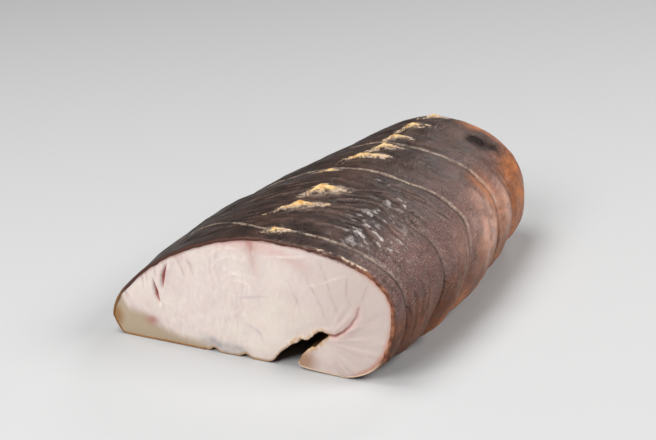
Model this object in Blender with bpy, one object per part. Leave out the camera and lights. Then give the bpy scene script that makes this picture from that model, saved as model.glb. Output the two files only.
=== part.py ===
"""A chunk of smoked sturgeon, gutted, lying on its belly with one belly flap curled under.

The piece runs along +Y from the near cut face (Y = 0) to the far cut face. +X is the
fish's curled flank and +Z is the back. The origin is under the middle of its box.
"""
import math

import bmesh
import bpy
import numpy as np
from mathutils import Vector

MM = 0.001

# Overall length between the two cut faces.
LENGTH = 190.0

# Section sizes in millimetres at a few stations along the length (0 near cut, 1 far cut).
STATION = (0.0, 0.12, 0.3, 0.5, 0.75, 0.92, 1.0)
SIZES = {
    "ridge_x": (4.0, 4.0, 4.5, 7.5, 12.5, 15.5, 17.0),
    "back_z": (59.5, 60.0, 60.5, 61.5, 62.0, 62.0, 61.0),
    "right_x": (66.0, 69.5, 74.0, 75.0, 73.0, 69.5, 66.0),
    "right_z": (32.0, 30.0, 26.5, 25.0, 25.0, 26.0, 27.0),
    "right_n": (2.5, 2.45, 2.3, 2.2, 2.1, 2.05, 2.05),
    "left_x": (-73.5, -73.5, -71.0, -62.0, -46.0, -34.0, -29.0),
    "left_z": (8.5, 10.0, 14.0, 18.0, 22.0, 25.0, 26.0),
    "left_n": (1.62, 1.62, 1.60, 1.55, 1.55, 1.55, 1.60),
    "belly_x": (41.0, 43.0, 46.0, 47.0, 46.0, 45.0, 43.0),
    "left_edge_x": (-25.0, -25.0, -22.0, -14.0, -2.0, 6.0, 9.0),
    "keel_x": (4.0, 4.0, 6.0, 9.0, 13.0, 16.0, 17.0),
    "slit_x": (35.5, 35.5, 36.0, 36.0, 35.0, 34.0, 33.5),
    "slit_z": (19.5, 19.5, 18.5, 17.0, 14.5, 13.0, 12.5),
    "flap_tip_x": (20.5, 20.5, 22.0, 24.0, 27.0, 28.5, 29.0),
    "flap_tip_z": (3.4, 3.4, 3.4, 3.4, 3.4, 3.4, 3.4),
}
BELLY_POWER = 2.05

# Points spent on each stretch of the section, belly flap first and slit last.
FLAP_POINTS = 5
BELLY_POINTS = 11
RIGHT_POINTS = 18
LEFT_POINTS = 20
LEFT_TIP_POINTS = 8
KEEL_POINTS = 9
ROOF_POINTS = 9
SLIT_POINTS = 5

# Grooves left by the smoking strings: place at the ridge and how many rows follow each.
STRINGS = (11.0, 54.0, 91.0, 133.0, 153.0)
ROWS = (3, 9, 8, 9, 5, 8)
STRING_LEAN = (0.0, -17.0, -34.0, -20.0, -10.0)
LEAN_FROM = 0.68
LEAN_TO = 1.2
LEFT_LEAN = 12.0

# Swelling of the meat between the strings, on the back, the left side and the right flank.
SWELL_BACK = 0.9
SWELL_LEFT = 1.2
SWELL_RIGHT = 2.4
SWELL_SHARE = (0.35, 0.8, 1.0, 1.0, 0.8, 0.9)

# Row of scraped scutes along the ridge: place, half length, half width, height.
SCUTES = (
    (10.0, 4.0, 6.0, 0.5),
    (44.0, 5.0, 8.0, 0.9),
    (64.0, 6.0, 9.0, 1.1),
    (109.0, 4.0, 8.0, 0.7),
    (127.0, 6.0, 8.0, 0.9),
    (143.0, 4.0, 6.0, 0.6),
    (162.0, 5.0, 8.0, 0.8),
    (185.0, 5.0, 8.0, 0.8),
)

# Skin above this height is back.
BACK_FROM = 40.0

# Dent in the top of the far right shoulder with a rim behind it.
DENT_Y = 164.0
DENT_U = 0.52
DENT_LENGTH = 7.0
DENT_WIDTH = 0.13
DENT_DEPTH = 2.2
RIM_Y = 180.0
RIM_U = 0.6
RIM_LENGTH = 6.0
RIM_WIDTH = 0.25
RIM_HEIGHT = 1.2

# Relief fades out over this height above the resting plane.
FADE_FROM = 1.0
FADE_TO = 9.0

# Two small notches in the cavity floor beside the keel: place, half width, height.
NOTCHES = ((0.14, 0.07, 2.4), (0.71, 0.08, 2.0))
KEEL_HALF = 1.0

# Slit roof from the keel to the slit's end, and the curled flap's inner side from its tip:
# shares of the way across and of the slit's height.
ROOF = ((0.13, 0.06), (0.25, 0.31), (0.42, 0.56), (0.57, 0.72), (0.78, 0.92), (0.89, 1.04))
FLAP_INSIDE = ((0.92, 0.9), (0.6, 0.68), (0.2, 0.42))

# Underside of the flap beside its tip: distance from the tip, height.
FLAP_UNDER = ((1.2, 1.3), (8.0, 0.4))

# Pointed left edge: how far in it meets the resting plane, and a point on its way there.
LEFT_TURN = 7.5
LEFT_TIP_IN = 2.5
LEFT_TIP_SHARE = 0.4

SKIN_COLOUR = (0.085, 0.062, 0.053, 1.0)
SKIN_ROUGHNESS = 0.45


def remove_everything():
    for thing in list(bpy.data.objects):
        bpy.data.objects.remove(thing, do_unlink=True)


def step(value, start, end):
    """Smooth step from 0 at start to 1 at end."""
    share = np.clip((value - start) / (end - start), 0.0, 1.0)
    return share * share * (3.0 - 2.0 * share)


def size_at(name, along):
    """A section size at a place along the piece, cubic between the stations."""
    places = np.array(STATION)
    values = np.array(SIZES[name], dtype=float)
    slopes = np.gradient(values, places)
    index = int(np.clip(np.searchsorted(places, along, side="right") - 1, 0, len(places) - 2))
    width = places[index + 1] - places[index]
    u = (along - places[index]) / width
    start = (2 * u**3 - 3 * u**2 + 1) * values[index] + (u**3 - 2 * u**2 + u) * width * slopes[index]
    end = (3 * u**2 - 2 * u**3) * values[index + 1] + (u**3 - u**2) * width * slopes[index + 1]
    return float(start + end)


def dome(centre, radii, power, start, end):
    """Points on a superellipse arc between two angles in degrees."""
    angles = np.radians(np.linspace(start, end, 200))
    cosine = np.cos(angles)
    sine = np.sin(angles)
    x = centre[0] + radii[0] * np.sign(cosine) * np.abs(cosine) ** (2.0 / power)
    z = centre[1] + radii[1] * np.sign(sine) * np.abs(sine) ** (2.0 / power)
    return np.stack([x, z], axis=1)


def curve(points):
    """A smooth line through a few points."""
    p = np.array(points, dtype=float)
    p = np.concatenate([[2 * p[0] - p[1]], p, [2 * p[-1] - p[-2]]])
    u = np.linspace(0.0, 1.0, 12, endpoint=False)[:, None]
    runs = []
    for i in range(1, len(p) - 2):
        a = p[i] * 2
        b = p[i + 1] - p[i - 1]
        c = 2 * p[i - 1] - 5 * p[i] + 4 * p[i + 1] - p[i + 2]
        d = 3 * p[i] - p[i - 1] - 3 * p[i + 1] + p[i + 2]
        runs.append(0.5 * (a + b * u + c * u**2 + d * u**3))
    runs.append(p[-2][None])
    return np.concatenate(runs)


def spaced(points, count):
    """The same line with an even spacing, leaving out its last point."""
    steps = np.linalg.norm(np.diff(points, axis=0), axis=1)
    run = np.concatenate([[0.0], np.cumsum(steps)])
    places = np.linspace(0.0, run[-1], count + 1)[:-1]
    x = np.interp(places, run, points[:, 0])
    z = np.interp(places, run, points[:, 1])
    return np.stack([x, z], axis=1)


def cavity_floor(g):
    """The gutted belly edge from the left skin edge to the keel, with its notches."""
    share = np.linspace(0.0, 1.0, 60)
    x = g["left_edge_x"] + share * (g["keel_x"] - KEEL_HALF - g["left_edge_x"])
    z = np.zeros_like(x)
    for place, width, height in NOTCHES:
        z += height * np.exp(-(((share - place) / width) ** 2))
    z *= np.sin(math.pi * share) ** 0.3
    return np.stack([x, z], axis=1)


def section(along):
    """Closed outline of the section, counter-clockwise seen from the near cut."""
    g = {name: size_at(name, along) for name in SIZES}
    tip = (g["flap_tip_x"], g["flap_tip_z"])
    flap = curve([tip] + [(tip[0] + x, z) for x, z in FLAP_UNDER] + [(g["belly_x"], 0.0)])
    belly = dome(
        (g["belly_x"], g["right_z"]),
        (g["right_x"] - g["belly_x"], g["right_z"]),
        BELLY_POWER, -90.0, 0.0)
    right = dome(
        (g["ridge_x"], g["right_z"]),
        (g["right_x"] - g["ridge_x"], g["back_z"] - g["right_z"]),
        g["right_n"], 0.0, 90.0)
    left = dome(
        (g["ridge_x"], g["left_z"]),
        (g["ridge_x"] - g["left_x"], g["back_z"] - g["left_z"]),
        g["left_n"], 90.0, 180.0)
    turn = g["left_x"] + LEFT_TURN
    left_tip = curve([
        (g["left_x"], g["left_z"]),
        (g["left_x"] + LEFT_TIP_IN, LEFT_TIP_SHARE * g["left_z"]),
        (turn, 0.0),
        (0.5 * (turn + g["left_edge_x"]), 0.0),
        (g["left_edge_x"], 0.0)])
    keel = cavity_floor(g)
    across = g["slit_x"] - g["keel_x"]
    roof_points = [(g["keel_x"] + x * across, z * g["slit_z"]) for x, z in ROOF]
    end = (g["slit_x"], g["slit_z"])
    roof = curve([(g["keel_x"] - KEEL_HALF, 0.0)] + roof_points + [end])
    reach = g["slit_x"] - tip[0]
    slit = curve([end] + [(tip[0] + x * reach, z * g["slit_z"]) for x, z in FLAP_INSIDE] + [tip])
    stretches = (
        (flap, FLAP_POINTS), (belly, BELLY_POINTS), (right, RIGHT_POINTS), (left, LEFT_POINTS),
        (left_tip, LEFT_TIP_POINTS), (keel, KEEL_POINTS), (roof, ROOF_POINTS), (slit, SLIT_POINTS))
    return np.concatenate([spaced(points, count) for points, count in stretches])


def around():
    """Place round the skin: 0 on the ridge, 1 at the right flank, -1 at the left tip."""
    flap = np.linspace(2.0, 1.7, FLAP_POINTS, endpoint=False)
    belly = np.linspace(1.7, 1.0, BELLY_POINTS, endpoint=False)
    right = np.linspace(1.0, 0.0, RIGHT_POINTS, endpoint=False)
    left = np.linspace(0.0, -1.0, LEFT_POINTS, endpoint=False)
    left_tip = np.linspace(-1.0, -1.6, LEFT_TIP_POINTS, endpoint=False)
    inside = np.full(KEEL_POINTS + ROOF_POINTS + SLIT_POINTS, -1.6)
    return np.concatenate([flap, belly, right, left, left_tip, inside])


def rows():
    """Places along the ridge, closer together beside every string groove."""
    ends = (0.0,) + STRINGS + (LENGTH,)
    places = []
    for i, count in enumerate(ROWS):
        share = 0.5 - 0.5 * np.cos(np.linspace(0.0, math.pi, count, endpoint=False))
        places.extend(ends[i] + share * (ends[i + 1] - ends[i]))
    places.append(LENGTH)
    return places


def lean(ridge_y, place):
    """How far a row moves toward the near cut on its way down the flanks."""
    ends = (0.0,) + STRINGS + (LENGTH,)
    amounts = (0.0,) + STRING_LEAN + (0.0,)
    amount = np.interp(ridge_y, ends, amounts)
    right = amount * step(place, LEAN_FROM, LEAN_TO)
    open_end = step(ridge_y, 0.0, STRINGS[1]) * (1.0 - step(ridge_y, STRINGS[3], LENGTH))
    left = -LEFT_LEAN * open_end * step(-place, 0.2, 1.0)
    return right + left


def swell(ridge_y, place):
    """Relief between the strings, zero at a string and at both cuts."""
    ends = (0.0,) + STRINGS + (LENGTH,)
    index = int(np.clip(np.searchsorted(ends, ridge_y, side="right") - 1, 0, len(ROWS) - 1))
    share = (ridge_y - ends[index]) / (ends[index + 1] - ends[index])
    bow = math.sin(math.pi * min(max(share, 0.0), 1.0)) ** 0.7
    right = SWELL_BACK + (SWELL_RIGHT - SWELL_BACK) * step(place, 0.3, 0.9)
    left = SWELL_BACK + (SWELL_LEFT - SWELL_BACK) * step(-place, 0.3, 0.9)
    height = np.where(place > 0.0, right, left)
    return SWELL_SHARE[index] * height * (bow - 0.35 * min(1.0, ridge_y / 8.0))


def bump(value, centre, width):
    return np.exp(-(((value - centre) / width) ** 2))


def relief(ridge_y, place, outline):
    """Outward offset of one row of the skin."""
    offset = swell(ridge_y, place)
    ridge_x = size_at("ridge_x", ridge_y / LENGTH)
    on_back = outline[:, 1] > BACK_FROM
    for centre, length, width, height in SCUTES:
        lump = bump(ridge_y, centre, length) * bump(outline[:, 0], ridge_x, width)
        offset = offset + height * lump * on_back
    offset = offset - DENT_DEPTH * bump(ridge_y, DENT_Y, DENT_LENGTH) * bump(place, DENT_U, DENT_WIDTH)
    offset = offset + RIM_HEIGHT * bump(ridge_y, RIM_Y, RIM_LENGTH) * bump(place, RIM_U, RIM_WIDTH)
    offset = offset * step(outline[:, 1], FADE_FROM, FADE_TO)
    return offset * (place > -1.59)


def outward(outline):
    """Unit normals of the closed outline."""
    along = np.roll(outline, -1, axis=0) - np.roll(outline, 1, axis=0)
    along /= np.linalg.norm(along, axis=1)[:, None]
    return np.stack([along[:, 1], -along[:, 0]], axis=1)


def body_rows():
    """Every row of the surface as a ring of points in millimetres."""
    place = around()
    rings = []
    for ridge_y in rows():
        y = ridge_y + lean(ridge_y, place)
        outline = section(ridge_y / LENGTH)
        moved = np.array([section(value / LENGTH)[i] for i, value in enumerate(y)])
        moved = moved + outward(outline) * relief(ridge_y, place, outline)[:, None]
        moved[:, 1] = np.maximum(moved[:, 1], 0.0)
        rings.append(np.stack([moved[:, 0], y, moved[:, 1]], axis=1))
    return rings


def solid(rings):
    """A closed mesh from the rings, capped with the two flat cut faces."""
    mesh = bmesh.new()
    points = np.concatenate(rings)
    middle = 0.5 * (points.min(axis=0) + points.max(axis=0))
    shift = np.array([middle[0], middle[1], points[:, 2].min()])
    verts = []
    for ring in rings:
        verts.append([mesh.verts.new(Vector((point - shift) * MM)) for point in ring])
    count = len(verts[0])
    for near, far in zip(verts, verts[1:]):
        for i in range(count):
            j = (i + 1) % count
            mesh.faces.new((near[i], near[j], far[j], far[i]))
    near_cut = mesh.faces.new(list(reversed(verts[0])))
    far_cut = mesh.faces.new(verts[-1])
    mesh.normal_update()
    bmesh.ops.triangulate(mesh, faces=[near_cut, far_cut], ngon_method="EAR_CLIP")
    bmesh.ops.recalc_face_normals(mesh, faces=mesh.faces)
    return mesh


def material():
    made = bpy.data.materials.new("smoked_fish")
    made.use_nodes = True
    shader = made.node_tree.nodes["Principled BSDF"]
    shader.inputs["Base Color"].default_value = SKIN_COLOUR
    shader.inputs["Roughness"].default_value = SKIN_ROUGHNESS
    made.diffuse_color = SKIN_COLOUR
    return made


def build():
    remove_everything()
    mesh = solid(body_rows())
    data = bpy.data.meshes.new("smoked_fish")
    mesh.to_mesh(data)
    mesh.free()
    piece = bpy.data.objects.new("smoked_fish", data)
    piece.data.materials.append(material())
    bpy.context.scene.collection.objects.link(piece)


build()
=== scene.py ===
"""Looks of the smoked sturgeon chunk: skin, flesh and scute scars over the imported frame.

Lengths are in millimetres in the section's own frame until to_scene() turns them into metres.
"""
import math

import bpy
import numpy as np
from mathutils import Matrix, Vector
from mathutils.geometry import delaunay_2d_cdt


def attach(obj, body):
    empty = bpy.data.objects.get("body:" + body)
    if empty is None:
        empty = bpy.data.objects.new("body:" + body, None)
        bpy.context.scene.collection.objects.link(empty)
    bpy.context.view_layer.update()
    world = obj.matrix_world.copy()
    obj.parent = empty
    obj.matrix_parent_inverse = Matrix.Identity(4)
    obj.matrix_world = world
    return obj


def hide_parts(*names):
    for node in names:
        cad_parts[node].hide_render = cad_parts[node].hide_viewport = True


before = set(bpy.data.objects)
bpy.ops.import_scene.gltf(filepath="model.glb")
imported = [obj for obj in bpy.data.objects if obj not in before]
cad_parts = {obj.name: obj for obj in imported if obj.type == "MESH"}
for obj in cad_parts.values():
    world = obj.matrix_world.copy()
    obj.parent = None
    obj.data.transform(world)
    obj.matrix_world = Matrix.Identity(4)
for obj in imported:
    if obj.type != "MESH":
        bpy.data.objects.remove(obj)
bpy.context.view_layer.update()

MM = 0.001
SHIFT_X = 1.2
LENGTH = 190.0
RNG = np.random.default_rng(7)

# ---- section sizes

STATION = (0.0, 0.12, 0.3, 0.5, 0.75, 0.92, 1.0)
SIZES = {
    "ridge_x": (4.0, 4.0, 4.5, 7.5, 12.5, 15.5, 17.0),
    "back_z": (59.5, 60.0, 60.5, 61.5, 62.0, 62.0, 61.0),
    "right_x": (66.0, 69.5, 74.0, 75.0, 73.0, 69.5, 66.0),
    "right_z": (32.0, 30.0, 26.5, 25.0, 25.0, 26.0, 27.0),
    "right_n": (2.5, 2.45, 2.3, 2.2, 2.1, 2.05, 2.05),
    "left_x": (-73.5, -73.5, -71.0, -62.0, -46.0, -34.0, -29.0),
    "left_z": (8.5, 10.0, 14.0, 18.0, 22.0, 25.0, 26.0),
    "left_n": (1.62, 1.62, 1.60, 1.55, 1.55, 1.55, 1.60),
    "belly_x": (41.0, 43.0, 46.0, 47.0, 46.0, 45.0, 43.0),
    "left_edge_x": (-25.0, -25.0, -22.0, -14.0, -2.0, 6.0, 9.0),
    "keel_x": (4.0, 4.0, 6.0, 9.0, 13.0, 16.0, 17.0),
    "slit_x": (35.5, 35.5, 36.0, 36.0, 35.0, 34.0, 33.5),
    "slit_z": (19.5, 19.5, 18.5, 17.0, 14.5, 13.0, 12.5),
    "flap_tip_x": (20.5, 20.5, 22.0, 24.0, 27.0, 28.5, 29.0),
    "flap_tip_z": (3.4, 3.4, 3.4, 3.4, 3.4, 3.4, 3.4),
}
BELLY_POWER = 2.05
NOTCHES = ((0.14, 0.07, 2.4), (0.71, 0.08, 2.0))
KEEL_HALF = 1.0
ROOF = ((0.13, 0.06), (0.25, 0.31), (0.42, 0.56), (0.57, 0.72), (0.78, 0.92), (0.89, 1.04))
FLAP_INSIDE = ((0.92, 0.9), (0.6, 0.68), (0.2, 0.42))
FLAP_UNDER = ((1.2, 1.3), (8.0, 0.4))
LEFT_TURN = 7.5
LEFT_TIP_IN = 2.5
LEFT_TIP_SHARE = 0.4

# Columns on each stretch: flap, belly, right, left, left tip, then the cavity's three.
SKIN_COLUMNS = (20, 50, 125, 115, 40)
CAVITY_COLUMNS = (70, 70, 36)

# String grooves at the ridge, and how far each leans toward the near cut on the flank.
STRINGS = (11.0, 54.0, 91.0, 133.0, 153.0)
STRING_LEAN = (0.0, -17.0, -34.0, -20.0, -10.0)
LEAN_FROM = 0.68
LEAN_TO = 1.2
LEFT_LEAN = 12.0
SWELL_BACK = 0.9
SWELL_LEFT = 1.2
SWELL_RIGHT = 3.1
SWELL_SHARE = (0.35, 0.8, 1.0, 1.0, 0.8, 0.9)

SKIN_THICK = 1.0
SKIN_THIN = 0.45
FLESH_UNDER = 0.6
FLESH_SINK = 3.0

# Distance between the points of the two cut faces.
NEAR_SPACING = 0.52
FAR_SPACING = 0.95
CAP_SEED = 3
REFINED_WITHIN = 1.6


# ---- small maths

def step(value, start, end):
    share = np.clip((value - start) / (end - start), 0.0, 1.0)
    return share * share * (3.0 - 2.0 * share)


def fall(value, start, end):
    return 1.0 - step(value, start, end)


def bump(value, centre, width):
    return np.exp(-(((value - centre) / width) ** 2))


def spot(v, u, place):
    """A soft patch, given by its middle and half size along, then round."""
    v_at, v_half, u_at, u_half = place
    return bump(v, v_at, v_half) * bump(u, u_at, u_half)


def unit(value):
    return np.clip(value, 0.0, 1.0)


def tapered(share, margin):
    """From near 0 up to 1 and down again along a line."""
    return np.sin(math.pi * unit(margin + (1.0 - 2.0 * margin) * share))


def lattice(ix, iy, iz, seed):
    """A repeatable pseudo-random number from 0 to 1 for each lattice point."""
    h = (ix * 374761393 + iy * 668265263 + iz * 1440662683 + seed * 974711) & 0xFFFFFFFF
    h = ((h ^ (h >> 13)) * 1274126177) & 0xFFFFFFFF
    h = ((h ^ (h >> 15)) * 2246822519) & 0xFFFFFFFF
    return ((h ^ (h >> 16)) & 0xFFFFFF) / float(0xFFFFFF)


def noise(x, y, z=0.0, seed=0):
    """Smooth value noise from -1 to 1."""
    x, y, z = np.broadcast_arrays(np.asarray(x, float), np.asarray(y, float), np.asarray(z, float))
    fx, fy, fz = np.floor(x), np.floor(y), np.floor(z)
    ix, iy, iz = fx.astype(np.int64), fy.astype(np.int64), fz.astype(np.int64)
    ux, uy, uz = x - fx, y - fy, z - fz
    ux, uy, uz = (u * u * u * (u * (u * 6 - 15) + 10) for u in (ux, uy, uz))
    total = 0.0
    for dx in (0, 1):
        wx = ux if dx else 1 - ux
        for dy in (0, 1):
            wy = uy if dy else 1 - uy
            for dz in (0, 1):
                wz = uz if dz else 1 - uz
                total = total + wx * wy * wz * lattice(ix + dx, iy + dy, iz + dz, seed)
    return total * 2.0 - 1.0


def layered(x, y, z=0.0, seed=0):
    """Three layers of noise, each half the size and height of the one before."""
    total = 0.0
    for i, size in enumerate((1.0, 0.5, 0.25)):
        total = total + noise(x / size, y / size, z / size, seed + 17 * i) * size
    return total / 1.75


def to_scene(points):
    """Section-frame millimetres to scene metres."""
    moved = np.array(points, dtype=float)
    moved[..., 0] -= SHIFT_X
    moved[..., 1] -= 0.5 * LENGTH
    return moved * MM


def linear(r, g, b):
    """An sRGB colour written 0 to 255, as linear RGBA."""
    out = []
    for value in (r, g, b):
        c = value / 255.0
        out.append(c / 12.92 if c <= 0.04045 else ((c + 0.055) / 1.055) ** 2.4)
    return (*out, 1.0)


# ---- section

def size_at(name, along):
    places = np.array(STATION)
    values = np.array(SIZES[name], dtype=float)
    slopes = np.gradient(values, places)
    index = int(np.clip(np.searchsorted(places, along, side="right") - 1, 0, len(places) - 2))
    width = places[index + 1] - places[index]
    u = (along - places[index]) / width
    start = (2 * u**3 - 3 * u**2 + 1) * values[index] + (u**3 - 2 * u**2 + u) * width * slopes[index]
    end = (3 * u**2 - 2 * u**3) * values[index + 1] + (u**3 - u**2) * width * slopes[index + 1]
    return float(start + end)


def dome(centre, radii, power, start, end):
    angles = np.radians(np.linspace(start, end, 500))
    cosine = np.cos(angles)
    sine = np.sin(angles)
    x = centre[0] + radii[0] * np.sign(cosine) * np.abs(cosine) ** (2.0 / power)
    z = centre[1] + radii[1] * np.sign(sine) * np.abs(sine) ** (2.0 / power)
    return np.stack([x, z], axis=1)


def curve(points):
    p = np.array(points, dtype=float)
    p = np.concatenate([[2 * p[0] - p[1]], p, [2 * p[-1] - p[-2]]])
    u = np.linspace(0.0, 1.0, 24, endpoint=False)[:, None]
    runs = []
    for i in range(1, len(p) - 2):
        a = p[i] * 2
        b = p[i + 1] - p[i - 1]
        c = 2 * p[i - 1] - 5 * p[i] + 4 * p[i + 1] - p[i + 2]
        d = 3 * p[i] - p[i - 1] - 3 * p[i + 1] + p[i + 2]
        runs.append(0.5 * (a + b * u + c * u**2 + d * u**3))
    runs.append(p[-2][None])
    return np.concatenate(runs)


def spaced(points, count):
    steps = np.linalg.norm(np.diff(points, axis=0), axis=1)
    run = np.concatenate([[0.0], np.cumsum(steps)])
    places = np.linspace(0.0, run[-1], count + 1)[:-1]
    return np.stack([np.interp(places, run, points[:, i]) for i in (0, 1)], axis=1)


def cavity_floor(g):
    share = np.linspace(0.0, 1.0, 80)
    x = g["left_edge_x"] + share * (g["keel_x"] - KEEL_HALF - g["left_edge_x"])
    z = np.zeros_like(x)
    for place, width, height in NOTCHES:
        z += height * bump(share, place, width)
    z *= np.sin(math.pi * share) ** 0.3
    return np.stack([x, z], axis=1)


def section(along):
    """Closed outline, counter-clockwise from the flap's tip, skin first and cavity last."""
    g = {name: size_at(name, along) for name in SIZES}
    tip = (g["flap_tip_x"], g["flap_tip_z"])
    flap = curve([tip] + [(tip[0] + x, z) for x, z in FLAP_UNDER] + [(g["belly_x"], 0.0)])
    belly = dome(
        (g["belly_x"], g["right_z"]), (g["right_x"] - g["belly_x"], g["right_z"]),
        BELLY_POWER, -90.0, 0.0)
    right = dome(
        (g["ridge_x"], g["right_z"]),
        (g["right_x"] - g["ridge_x"], g["back_z"] - g["right_z"]),
        g["right_n"], 0.0, 90.0)
    left = dome(
        (g["ridge_x"], g["left_z"]),
        (g["ridge_x"] - g["left_x"], g["back_z"] - g["left_z"]),
        g["left_n"], 90.0, 180.0)
    turn = g["left_x"] + LEFT_TURN
    left_tip = curve([
        (g["left_x"], g["left_z"]),
        (g["left_x"] + LEFT_TIP_IN, LEFT_TIP_SHARE * g["left_z"]),
        (turn, 0.0),
        (0.5 * (turn + g["left_edge_x"]), 0.0),
        (g["left_edge_x"], 0.0)])
    across = g["slit_x"] - g["keel_x"]
    roof_points = [(g["keel_x"] + x * across, z * g["slit_z"]) for x, z in ROOF]
    end = (g["slit_x"], g["slit_z"])
    roof = curve([(g["keel_x"] - KEEL_HALF, 0.0)] + roof_points + [end])
    reach = g["slit_x"] - tip[0]
    slit = curve([end] + [(tip[0] + x * reach, z * g["slit_z"]) for x, z in FLAP_INSIDE] + [tip])
    stretches = (flap, belly, right, left, left_tip, cavity_floor(g), roof, slit)
    counts = SKIN_COLUMNS + CAVITY_COLUMNS
    return np.concatenate([spaced(points, count) for points, count in zip(stretches, counts)])


def places_around():
    """0 on the ridge, 1 at the right flank, 2 at the flap tip, -1 at the left tip."""
    marks = (2.0, 1.7, 1.0, 0.0, -1.0, -1.6)
    runs = []
    for start, end, count in zip(marks, marks[1:], SKIN_COLUMNS):
        runs.append(np.linspace(start, end, count, endpoint=False))
    runs.append(np.full(sum(CAVITY_COLUMNS), -1.6))
    return np.concatenate(runs)


def skin_wall(place):
    """Skin thickness: leathery on the back and flank, thin on the belly."""
    left = step(-place, 0.85, 1.0)
    flap = step(place, 1.15, 1.5)
    return SKIN_THICK - (SKIN_THICK - SKIN_THIN) * np.maximum(left, flap)


TABLE_STEPS = 191
TABLE = np.stack([section(t) for t in np.linspace(0.0, 1.0, TABLE_STEPS)])
PLACE = places_around()
SKIN_COUNT = sum(SKIN_COLUMNS)


def outline_at(y, columns):
    """Section points for arrays of distances along and column numbers."""
    t = unit(y / LENGTH) * (TABLE_STEPS - 1)
    low = np.minimum(t.astype(int), TABLE_STEPS - 2)
    share = (t - low)[..., None]
    return TABLE[low, columns] * (1.0 - share) + TABLE[low + 1, columns] * share


def lean(v, place):
    ends = (0.0,) + STRINGS + (LENGTH,)
    amount = np.interp(v, ends, (0.0,) + STRING_LEAN + (0.0,))
    right = amount * step(place, LEAN_FROM, LEAN_TO)
    middle = step(v, 0.0, STRINGS[1]) * fall(v, STRINGS[3], LENGTH)
    return right - LEFT_LEAN * middle * step(-place, 0.2, 1.0)


def swell(v, place):
    ends = np.array((0.0,) + STRINGS + (LENGTH,))
    index = np.clip(np.searchsorted(ends, v, side="right") - 1, 0, len(ends) - 2)
    share = unit((v - ends[index]) / (ends[index + 1] - ends[index]))
    bow = np.sin(math.pi * share) ** 0.6
    right = SWELL_BACK + (SWELL_RIGHT - SWELL_BACK) * step(place, 0.3, 0.9)
    left = SWELL_BACK + (SWELL_LEFT - SWELL_BACK) * step(-place, 0.3, 0.9)
    height = np.where(place > 0.0, right, left)
    shares = np.array(SWELL_SHARE)[index]
    return shares * height * (bow - 0.35 * np.minimum(1.0, v / 8.0))


# ---- scute scars

# The scars lie on the back only, above this height.
SCAR_ABOVE_Z = 42.0

# Each scar: left tail, peak and right end as (x, y), half width, height.
SCARS = (
    ((1.0, 5.5), (5.0, 11.5), (11.0, 13.0), 1.7, 1.3),
    ((-6.0, 29.0), (3.5, 41.0), (15.0, 46.0), 2.1, 2.2),
    ((-2.0, 52.0), (6.0, 62.5), (17.0, 67.0), 2.6, 2.6),
    ((-13.0, 89.5), (-4.0, 91.5), (3.0, 90.0), 1.0, 0.5),
    ((-3.0, 101.0), (6.0, 110.0), (19.0, 114.0), 2.0, 2.0),
    ((5.0, 116.0), (10.5, 127.0), (20.0, 129.5), 2.3, 2.2),
    ((6.5, 136.5), (10.5, 143.0), (20.0, 145.0), 1.8, 1.7),
    ((7.0, 152.0), (12.0, 163.0), (20.0, 165.0), 2.0, 1.8),
    ((12.0, 178.0), (16.0, 186.0), (23.0, 186.5), 2.0, 1.8),
)


def path_distance(x, y, points):
    """Distance to a polyline, the share of the way along it, and the side of it."""
    points = np.array(points, dtype=float)
    lengths = np.linalg.norm(np.diff(points, axis=0), axis=1)
    starts = np.concatenate([[0.0], np.cumsum(lengths)])
    best = np.full(np.shape(x), 1e9)
    along = np.zeros(np.shape(x))
    side = np.zeros(np.shape(x))
    for i in range(len(points) - 1):
        ax, ay = points[i]
        dx, dy = points[i + 1] - points[i]
        t = unit(((x - ax) * dx + (y - ay) * dy) / (dx * dx + dy * dy))
        ox = x - (ax + t * dx)
        oy = y - (ay + t * dy)
        d = np.hypot(ox, oy)
        near = d < best
        best = np.where(near, d, best)
        along = np.where(near, (starts[i] + t * lengths[i]) / starts[-1], along)
        side = np.where(near, np.sign(dx * oy - dy * ox), side)
    return best, along, side


def scar_relief(x, y, z):
    """Height, and the gold, cream and shadow masks, of the scute scars."""
    height, gold, cream, shade = (np.zeros_like(x) for _ in range(4))
    on_back = z > SCAR_ABOVE_Z
    for i, (tail, peak, end, width, high) in enumerate(SCARS):
        wobble = 0.9 * noise(x / 3.0, y / 3.0, i, seed=31)
        d, s, side = path_distance(x + wobble, y - wobble, (tail, peak, end))
        first = math.dist(tail, peak)
        mid = first / (first + math.dist(peak, end))
        rise = np.where(s < mid, s / mid, (1.0 - s) / (1.0 - mid))
        body = width * (0.35 + 0.65 * rise**0.7)
        front = np.where(side < 0.0, 0.75, 1.25)
        core = bump(d, 0.0, body * front)
        flake = 0.8 + 0.3 * noise(s * 5.0, d / 0.9, i, seed=5)
        height = np.maximum(height, high * (0.12 + 0.88 * rise**1.6) * core * flake)
        fleck = noise(s * 7.0, side * d / 0.55, i, seed=9)
        gold = np.maximum(gold, step(core * (0.1 + 1.05 * rise) + 0.2 * fleck, 0.35, 0.8))
        streak = bump(d, 0.0, body * 2.0) * step(fleck, -0.25, 0.35)
        cream = np.maximum(cream, streak * (0.65 + 0.35 * step(s, 0.3, 0.8)))
        shade = np.maximum(shade, bump(d, body * 1.25, 0.7) * (side < 0.0) * (0.3 + rise))
    return height * on_back, gold * on_back, cream * on_back, shade * on_back


# ---- skin relief

# Groove depth, lip height and pale line, a painted highlight on the lip, of each string, and where round
# the body it shows.
STRING_LOOKS = (
    (0.45, 0.55, 0.95, -0.62, 0.95),
    (0.45, 0.10, 0.10, 0.45, 1.15),
    (0.50, 0.50, 0.80, -0.75, 1.25),
    (0.55, 0.45, 0.80, -0.30, 1.30),
    (0.50, 0.25, 0.35, 0.70, 1.30),
)
# How much farther back the first string runs on the left.
RING_ONE_LEFT = 16.0

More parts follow.
